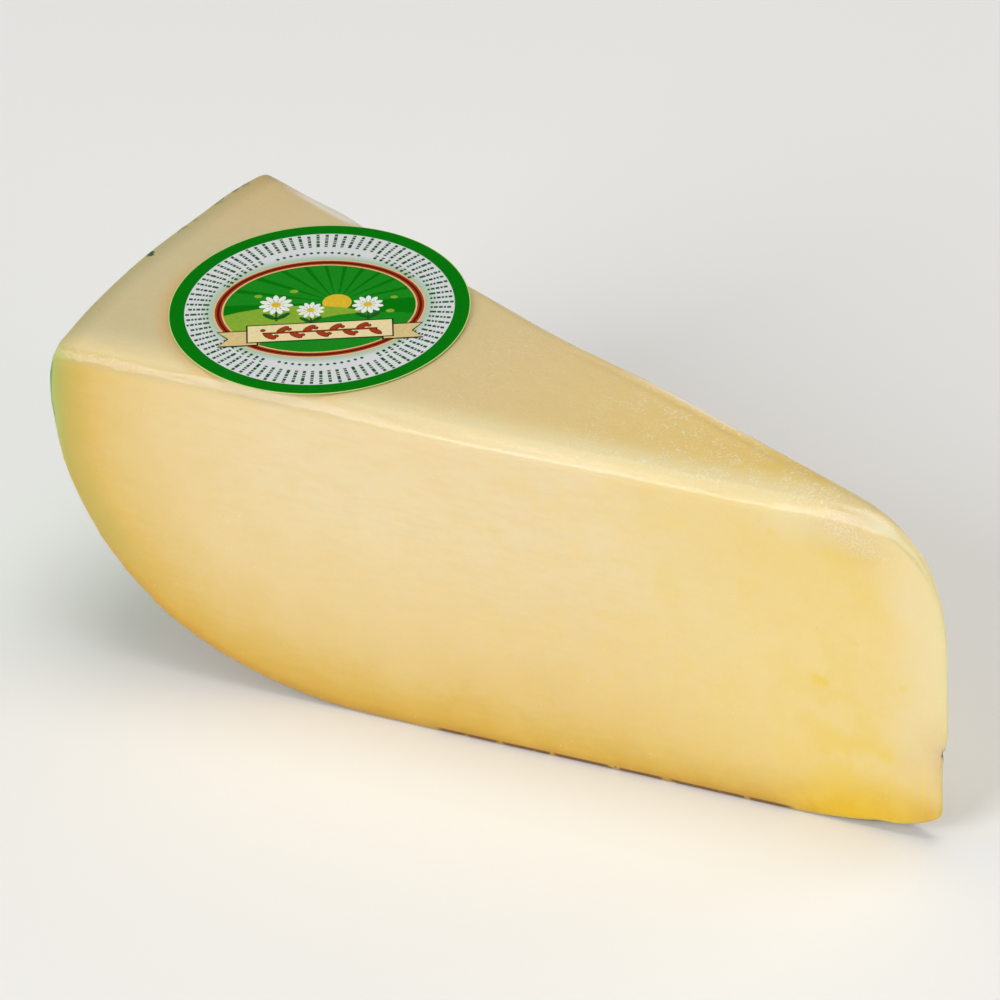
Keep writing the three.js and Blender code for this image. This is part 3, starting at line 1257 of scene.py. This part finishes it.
@dataclass(frozen=True)
class Daisy:
    """A daisy of the print, with its stem and two leaves.

    Attributes:
        place: Its middle.
        size: How large it is; what follows is in units of it.
        petals: How many petals it has.
        petal: Half a petal's length and width, and how far out its middle is.
        heart: The heart's radius.
        stem: The stem's width and length.
        leaf: Half a leaf's length and width.
        leaf_place: How far beside and below the middle a leaf is.
        leaf_turn: How far a leaf is turned up.
    """

    place: tuple[float, float]
    size: float
    petals: int = 11
    petal: tuple[float, float, float] = (0.9, 0.4, 1.45)
    heart: float = 0.66
    stem: tuple[float, float] = (0.3, 4.0)
    leaf: tuple[float, float] = (1.15, 0.42)
    leaf_place: tuple[float, float] = (0.95, 2.8)
    leaf_turn: float = 0.7

    def greens(self) -> list[bpy.types.Object]:
        """Adds the stem and the leaves.

        Returns:
            The stem and each leaf.
        """
        across, up = self.place
        width, length = (self.size * side for side in self.stem)
        leaf = (self.leaf[0] * self.size, self.leaf[1] * self.size)
        aside, below = (self.size * way for way in self.leaf_place)
        greens = [flat_bar((width, length), (across, up - length / 2))]
        for side in (-1, 1):
            place = (across + side * aside, up - below)
            greens.append(flat_oval(leaf, place, side * self.leaf_turn))
        return greens

    def flower(self) -> bpy.types.Object:
        """Adds the petals, turned by the daisy's size, so that no two daisies look alike.

        Returns:
            The petals, joined.
        """
        long, wide, out = (self.size * reach for reach in self.petal)
        petal = flat_oval((long, wide), (out, 0), sides=16)
        flower = arrayed_round(petal, self.petals, 2 * math.pi / self.petals, self.size)
        flower.location = (self.place[0] * MM, self.place[1] * MM, 0)
        bake_transform(flower)
        return flower

    def middle(self) -> bpy.types.Object:
        """Adds the heart."""
        return flat_oval((self.heart * self.size, self.heart * self.size), self.place)


@dataclass(frozen=True)
class Twig:
    """A twig of the print: leaves and berries that point up and down in turn.

    Attributes:
        stem: The stem's length and width.
        leaves: How many leaves there are, with a berry to each.
        run: How far the leaves reach along the stem.
        leaf: Half a leaf's length and width.
        leaf_place: How far along and off the stem a leaf is from its root.
        leaf_turn: How far a leaf is turned off the stem.
        berry: A berry's radius.
        berry_place: How far along and off the stem a berry is from the leaf's root.
    """

    stem: tuple[float, float] = (15.4, 0.2)
    leaves: int = 9
    run: float = 14.4
    leaf: tuple[float, float] = (1.0, 0.42)
    leaf_place: tuple[float, float] = (0.35, 0.72)
    leaf_turn: float = 0.75
    berry: float = 0.27
    berry_place: tuple[float, float] = (-0.55, -0.75)

    def build(self, up: float, grow: float) -> bpy.types.Object:
        """Models the twig flat, about the origin.

        Args:
            up: How far up its stem is.
            grow: How far it is enlarged all round.

        Returns:
            The twig, joined.
        """
        length, width = self.stem
        parts = [flat_bar((length + 2 * grow, width + 2 * grow), (0, up))]
        for number in range(self.leaves):
            side = 1 if number % 2 else -1
            root = self.run * (number / (self.leaves - 1) - 0.5)
            leaf = (root + self.leaf_place[0], up + side * self.leaf_place[1])
            reach = (self.leaf[0] + grow, self.leaf[1] + grow)
            parts.append(flat_oval(reach, leaf, side * self.leaf_turn))
            berry = (root + self.berry_place[0], up + side * self.berry_place[1])
            parts.append(flat_oval((self.berry + grow, self.berry + grow), berry, sides=12))
        return joined(parts)


@dataclass
class PaperLabel:
    """The round label: a paper disc with its print, each ink a very thin solid on the paper.

    The print is a field within oval rings: rays over two hills, daisies, and a ribbon with a
    twig on it. Rows of small marks ray out round it to a green band. Sizes across and up are
    measured from the label's centre, along the artwork.

    Attributes:
        radius: The paper's radius.
        paper: How thick the paper is.
        ink: How far each coat of ink stands above the one before.
        sides: How many sides the round outlines have.
        artwork_turn: How far the print is turned round, from the slice's length.
        band: The inner and outer radius of the green band.
        picture: Half the length and half the width of the oval rings.
        rings: How far in each ring starts, how wide it is, and its ink.
        rows: How many rows of marks there are all round.
        rows_start: How far from the centre they start.
        row_patterns: The marks of a row, which repeat from row to row.
        short_rows: How many short rows there are at each place.
        short_rows_start: How far from the centre they start.
        short_rows_at: The middle of each place, in degrees.
        dots: How many lozenges there are in each arc.
        dot: The reach of a lozenge.
        dots_radius: The arcs' radius.
        dots_step: The turn from one lozenge to the next.
        sun: The sun's middle.
        sun_radius: The sun's radius.
        rays: How many rays it has.
        ray_spacing: How far apart the rays are, in rays' widths.
        far_hill: The far hill's oval: its middle, across and up, and half its length and height.
        near_hill: The near hill's oval.
        daisies: The daisies.
        blossoms: The middle, across and up, and the reach of each small blossom.
        ribbon: The ribbon's length and width.
        ribbon_up: How far up its middle is.
        tail: A tail's length and width.
        tail_tuck: How far a tail is tucked behind the ribbon.
        tail_drop: How far below the ribbon's middle it hangs.
        notch: How deep its notch is.
        outline: How wide the dark outline of the ribbon is.
        twig: The twig on the ribbon.
        twig_outline: How wide the dark outline of the twig is.
    """

    radius: float = 20.6
    paper: float = 0.1
    ink: float = 0.008
    sides: int = 128
    artwork_turn: float = math.radians(36)
    band: tuple[float, float] = (18.45, 20.47)
    picture: tuple[float, float] = (14.5, 11.9)
    rings: tuple[tuple[float, float, Ink], ...] = (
        (0.0, 0.22, Ink.PEACH),
        (0.22, 0.28, Ink.RUSSET),
        (0.5, 0.36, Ink.OXBLOOD),
        (0.86, 0.28, Ink.RUSSET),
        (1.14, 0.24, Ink.PEACH),
    )
    rows: int = 88
    rows_start: float = 15.15
    row_patterns: tuple[tuple[Tick, ...], ...] = (
        (Tick.DASH, Tick.DOT, Tick.DOT, Tick.BAR, Tick.DASH),
        (Tick.DOT, Tick.DOT, Tick.DASH, Tick.DOT, Tick.DOT, Tick.DASH),
        (Tick.BAR, Tick.DASH, Tick.DOT, Tick.DASH, Tick.DOT),
        (Tick.DOT, Tick.DASH, Tick.DASH, Tick.DOT, Tick.DASH),
    )
    short_rows: int = 8
    short_rows_start: float = 13.75
    short_rows_at: tuple[float, ...] = (42, 138, 222, 318)
    dots: int = 13
    dot: float = 0.3
    dots_radius: float = 13.7
    dots_step: float = math.radians(4)
    sun: tuple[float, float] = (2.4, 1.2)
    sun_radius: float = 2.0
    rays: int = 11
    ray_spacing: float = 1.3
    far_hill: tuple[float, float, float, float] = (-4.0, -9.4, 17.0, 10.2)
    near_hill: tuple[float, float, float, float] = (6.5, -12.2, 16.0, 10.6)
    daisies: tuple[Daisy, ...] = (
        Daisy((-5.9, 1.3), 1.0),
        Daisy((-1.2, -0.4), 0.82),
        Daisy((6.6, 0.3), 0.92),
    )
    blossoms: tuple[tuple[float, float, float], ...] = (
        (-9.6, -0.6, 0.75),
        (-3.4, 4.4, 0.6),
        (9.6, -1.5, 0.6),
        (10.2, 1.8, 0.5),
        (-8.3, 3.6, 0.55),
    )
    ribbon: tuple[float, float] = (19.6, 3.9)
    ribbon_up: float = -5.6
    tail: tuple[float, float] = (5.2, 3.3)
    tail_tuck: float = 1.2
    tail_drop: float = 0.9
    notch: float = 1.4
    outline: float = 0.2
    twig: Twig = Twig()
    twig_outline: float = 0.1

    def __post_init__(self) -> None:
        """Finds the label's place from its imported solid."""
        low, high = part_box("label")
        self.centre = Vector(((low.x + high.x) / 2, (low.y + high.y) / 2, low.z))

    def build(self) -> None:
        """Models and dresses the paper and every ink."""
        self._paper()
        self._band()
        self._tick_rows()
        self._dotted_arcs()
        self._rings()
        self._sky()
        self._hills()
        self._flowers()
        self._ribbon()

    def _print(self, piece: bpy.types.Object, name: str, coat: int, ink: Ink) -> None:
        """Gives a flat outline the thickness of its coats, and lays it on the paper.

        Args:
            piece: The flat outline, about the origin.
            name: The piece's name.
            coat: Which coat of ink it is, counted from the paper.
            ink: Its ink.
        """
        piece.name = name
        # It reaches half a coat into the paper, so that no gap shows beneath it.
        solid = piece.modifiers.new("coat", "SOLIDIFY")
        solid.thickness = (coat + 0.5) * self.ink * MM
        solid.offset = -1.0
        apply_modifiers(piece)
        piece.rotation_euler.z = self.artwork_turn
        piece.location = self.centre + Vector((0, 0, (self.paper + coat * self.ink) * MM))
        finish_piece(piece, OffsetInk(ink).material())

    def _ring(self, reach: tuple[float, float], width: float) -> bpy.types.Object:
        """Adds a flat oval ring.

        Args:
            reach: Half its length and half its width, outside.
            width: How wide the ring itself is.

        Returns:
            The ring.
        """
        piece = flat_oval(reach, sides=self.sides)
        with editing(piece):
            bpy.ops.mesh.inset(thickness=width * MM)
            bpy.ops.mesh.delete(type="FACE")
        return piece

    def _field(self) -> tuple[float, float]:
        """Half the length and half the width of the field within the rings."""
        start, width, _ = self.rings[-1]
        return self.picture[0] - start - width, self.picture[1] - start - width

    def _paper(self) -> None:
        """Models the paper disc, with its cut edge eased."""
        piece = flat_oval((self.radius, self.radius), sides=self.sides)
        piece.name = "label_paper"
        solid = piece.modifiers.new("paper", "SOLIDIFY")
        solid.thickness = self.paper * MM
        solid.offset = 1.0
        eased = piece.modifiers.new("eased_edge", "BEVEL")
        eased.width = self.paper * MM / 4
        eased.segments = 2
        apply_modifiers(piece)
        piece.location = self.centre
        paper = LabelPaper().material(
            self.centre, self.radius, self.picture, self.artwork_turn
        )
        finish_piece(piece, paper)
        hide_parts("label")

    def _band(self) -> None:
        """Models the green band round the label."""
        inner, outer = self.band
        self._print(self._ring((outer, outer), outer - inner), "label_band", 1, Ink.LEAF)

    def _tick_rows(self) -> None:
        """Models the rows of marks: all round, and shorter ones beside the oval's flat sides."""
        turn = 2 * math.pi / self.rows
        sector = len(self.row_patterns)
        for number, pattern in enumerate(self.row_patterns):
            rows = TickRows(
                f"label_rows_{number + 1}",
                start=self.rows_start,
                first=turn * number,
                step=turn * sector,
                count=self.rows // sector,
                pattern=pattern,
            )
            self._print(rows.build(), rows.name, 1, Ink.MOSS)
        for number, middle in enumerate(self.short_rows_at):
            rows = TickRows(
                f"label_short_rows_{number + 1}",
                start=self.short_rows_start,
                first=math.radians(middle) - (self.short_rows - 1) / 2 * turn,
                step=turn,
                count=self.short_rows,
                pattern=(Tick.DASH, Tick.DOT),
            )
            self._print(rows.build(), rows.name, 1, Ink.MOSS)

    def _dotted_arcs(self) -> None:
        """Models the two arcs of small lozenges beside the oval's flat sides."""
        for number, middle in enumerate((90, 270)):
            lozenge = flat_oval((self.dot, self.dot), (self.dots_radius, 0), sides=4)
            first = math.radians(middle) - (self.dots - 1) / 2 * self.dots_step
            arc = arrayed_round(lozenge, self.dots, self.dots_step, first)
            self._print(arc, f"label_dotted_arc_{number + 1}", 1, Ink.MOSS)

    def _rings(self) -> None:
        """Models the oval rings and the field within them."""
        for number, (start, width, ink) in enumerate(self.rings):
            ring = self._ring((self.picture[0] - start, self.picture[1] - start), width)
            self._print(ring, f"label_ring_{number + 1}", 1, ink)
        field = flat_oval(self._field(), sides=self.sides)
        self._print(field, "label_field", 1, Ink.LEAF)

    def _sky(self) -> None:
        """Models the sun and its rays, which run out to the rings."""
        rays = []
        half = math.pi / self.rays / self.ray_spacing / 2
        for number in range(self.rays):
            direction = math.pi * (number + 0.5) / self.rays
            cuts = [
                (self.sun, direction + half + math.pi / 2),
                (self.sun, direction - half - math.pi / 2),
            ]
            rays.append(trimmed(flat_oval(self._field(), sides=self.sides), cuts))
        self._print(joined(rays), "label_rays", 2, Ink.MEADOW)
        sun = flat_oval((self.sun_radius, self.sun_radius), self.sun, sides=48)
        self._print(sun, "label_sun", 3, Ink.POLLEN)

    def _hills(self) -> None:
        """Models the two hills: the field, trimmed along the tangents of a wide oval."""
        tangents = [math.radians(degrees) for degrees in range(20, 161, 10)]
        for name, (across, up, long, high), coat, ink in (
            ("label_far_hill", self.far_hill, 4, Ink.PASTURE),
            ("label_near_hill", self.near_hill, 5, Ink.MEADOW),
        ):
            cuts = []
            for angle in tangents:
                touch = (across + long * math.cos(angle), up + high * math.sin(angle))
                cuts.append((touch, math.atan2(math.sin(angle) / high, math.cos(angle) / long)))
            hill = trimmed(flat_oval(self._field(), sides=self.sides), cuts)
            self._print(hill, name, coat, ink)

    def _flowers(self) -> None:
        """Models the daisies with their leaves, and the small blossoms."""
        greens = [part for daisy in self.daisies for part in daisy.greens()]
        self._print(joined(greens), "label_stems", 6, Ink.MOSS)
        flowers = [daisy.flower() for daisy in self.daisies]
        self._print(joined(flowers), "label_daisies", 7, Ink.DAISY)
        hearts = [daisy.middle() for daisy in self.daisies]
        self._print(joined(hearts), "label_daisy_hearts", 8, Ink.POLLEN)
        blossoms = [flat_oval((size, 0.7 * size), (x, y)) for x, y, size in self.blossoms]
        self._print(joined(blossoms), "label_blossoms", 6, Ink.PASTURE)

    def _tails(self, grow: float) -> bpy.types.Object:
        """Adds both notched tails of the ribbon.

        Args:
            grow: How far they are enlarged all round.

        Returns:
            The tails, joined.
        """
        length, width = self.tail
        size = (length + 2 * grow, width + 2 * grow)
        up = self.ribbon_up - self.tail_drop
        tails = []
        for side in (-1, 1):
            middle = side * (self.ribbon[0] / 2 + length / 2 - self.tail_tuck)
            tail = flat_bar(size, (middle, up))
            with editing(tail):
                bpy.ops.mesh.subdivide(number_cuts=1)
                bpy.ops.mesh.select_all(action="DESELECT")
            end = Vector((middle + side * size[0] / 2, up, 0)) * MM
            for vertex in tail.data.vertices:
                vertex.select = (vertex.co - end).length < self.ink * MM
            with editing(tail, all_selected=False):
                bpy.ops.transform.translate(value=(-side * self.notch * MM, 0, 0))
            tails.append(tail)
        return joined(tails)

    def _ribbon(self) -> None:
        """Models the ribbon, its tails and its twig, each on a dark outline."""
        length, width = self.ribbon
        grow = self.outline
        body = (0, self.ribbon_up)
        outline = (length + 2 * grow, width + 2 * grow)
        self._print(self._tails(grow), "label_ribbon_tails_outline", 6, Ink.BARK)
        self._print(self._tails(0), "label_ribbon_tails", 7, Ink.SAND)
        self._print(flat_bar(outline, body), "label_ribbon_outline", 8, Ink.BARK)
        self._print(flat_bar(self.ribbon, body), "label_ribbon", 9, Ink.CREAM)
        twig_outline = self.twig.build(self.ribbon_up, self.twig_outline)
        self._print(twig_outline, "label_twig_outline", 10, Ink.BARK)
        self._print(self.twig.build(self.ribbon_up, 0), "label_twig", 11, Ink.RUSSET)


@dataclass(frozen=True)
class Softbox:
    """A square softbox.

    Attributes:
        name: Its name.
        place: Its centre, in metres.
        size: Its side, in metres.
        power: Its power, in watts.
    """

    name: str
    place: tuple[float, float, float]
    size: float
    power: float

    def hang(self, aim: Vector) -> None:
        """Hangs it so that it faces a place.

        Args:
            aim: The place, in metres.
        """
        light = bpy.data.lights.new(self.name, "AREA")
        light.size = self.size
        light.energy = self.power
        lamp = bpy.data.objects.new(self.name, light)
        lamp.location = self.place
        lamp.rotation_euler = (aim - lamp.location).to_track_quat("-Z", "Y").to_euler()
        bpy.context.scene.collection.objects.link(lamp)


@dataclass
class Studio:
    """A pale floor, soft lights and the camera at the photograph's angle.

    Attributes:
        azimuth: How far the camera is turned from the -Y side towards +X.
        elevation: How far it looks down.
        roll: How far it is tilted.
        aim: The place that it looks at.
        distance: How far it is from there.
        lens: Its focal length.
        sensor: The width of its sensor.
        sight: How far it sees, in metres.
        floor_size: The floor's side.
        floor_white: The floor's colour.
        room_light: How strong the even light all round is.
        softboxes: The softboxes.
    """

    azimuth: float = math.radians(35.944)
    elevation: float = math.radians(35.132)
    roll: float = math.radians(2.88)
    aim: tuple[float, float, float] = (1.97, -11.28, 40.2)
    distance: float = 1069.4
    lens: float = 288.0
    sensor: float = 36.0
    sight: float = 20.0
    floor_size: float = 4000.0
    floor_white: str = "#F7F6F3"
    room_light: float = 0.2
    softboxes: tuple[Softbox, ...] = (
        Softbox("key_front", (-0.2, -0.95, 0.6), 0.6, 6.5),
        Softbox("overhead", (0.1, 0.05, 1.2), 0.7, 5.2),
        Softbox("fill_right", (0.9, -0.2, 0.4), 0.5, 1.5),
        Softbox("fill_far", (0.5, 0.9, 0.35), 0.5, 2.0),
        Softbox("fill_rim", (-1.0, -0.3, 0.3), 0.5, 1.8),
    )

    def build(self) -> None:
        """Sets up the floor, the lights, the world and the camera."""
        self._floor()
        for softbox in self.softboxes:
            softbox.hang(Vector(self.aim) * MM)
        self._world()
        self._camera()

    def _floor(self) -> None:
        """Lays the floor under the slice."""
        bpy.ops.object.select_all(action="DESELECT")
        bpy.ops.mesh.primitive_plane_add(size=self.floor_size * MM)
        floor = bpy.context.object
        floor.name = "studio_floor"
        material, tree = new_material("matt white floor")
        shader = add_node(
            tree, "BsdfPrincipled", {"Base Color": linear(self.floor_white), "Roughness": 0.7}
        )
        add_node(tree, "OutputMaterial", {"Surface": shader.outputs[0]})
        floor.data.materials.append(material)

    def _world(self) -> None:
        """Fills the room with even white light."""
        world = bpy.data.worlds.new("studio")
        bpy.context.scene.world = world
        world.use_nodes = True
        tree = world.node_tree
        tree.nodes.clear()
        light = add_node(
            tree, "Background", {"Color": (1, 1, 1, 1), "Strength": self.room_light}
        )
        add_node(tree, "OutputWorld", {"Surface": light.outputs[0]})
        bpy.context.scene.view_settings.view_transform = "Standard"

    def _camera(self) -> None:
        """Sets the camera where the photograph was taken from."""
        level = math.cos(self.elevation)
        back = Vector(
            (
                math.sin(self.azimuth) * level,
                -math.cos(self.azimuth) * level,
                math.sin(self.elevation),
            )
        )
        data = bpy.data.cameras.new("photo_camera")
        data.lens = self.lens
        data.sensor_width = self.sensor
        data.clip_end = self.sight
        camera = bpy.data.objects.new("photo_camera", data)
        camera.location = (Vector(self.aim) + back * self.distance) * MM
        camera.rotation_mode = "QUATERNION"
        upright = (-back).to_track_quat("-Z", "Y")
        camera.rotation_quaternion = Quaternion(-back, self.roll) @ upright
        bpy.context.scene.collection.objects.link(camera)
        bpy.context.scene.camera = camera


def main() -> None:
    """Builds the slice, its label and the studio."""
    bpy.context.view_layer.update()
    CheeseSlice(Wheel()).build()
    PaperLabel().build()
    Studio().build()


if __name__ == "__main__":
    main()
